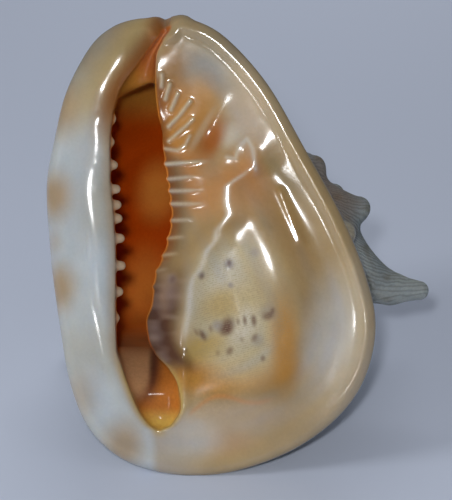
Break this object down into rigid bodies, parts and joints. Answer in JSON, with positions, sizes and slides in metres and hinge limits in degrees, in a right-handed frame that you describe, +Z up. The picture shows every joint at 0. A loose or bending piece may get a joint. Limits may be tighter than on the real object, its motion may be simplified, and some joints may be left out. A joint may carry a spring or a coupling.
{
  "type": "helmet shell",
  "caption": "Large sea shell: a flat glossy shield round a long toothed aperture, with a horned, knobbed body whorl behind it; leans back on its horns as a display piece.",
  "frame": {"origin": "centre of the footprint box, at the level of the worn feet", "axes": "+Z up with the siphonal canal at the top; +Y away from the viewer of the aperture, towards the dorsal side; +X to the viewer's right, the side of the longest visible horn"},
  "size_m": [0.191, 0.173, 0.2009],
  "materials": {
    "shell": "gloss"
  },
  "bodies": {
    "root": {"helmet_shell": "shell"}
  },
  "joints": []
}
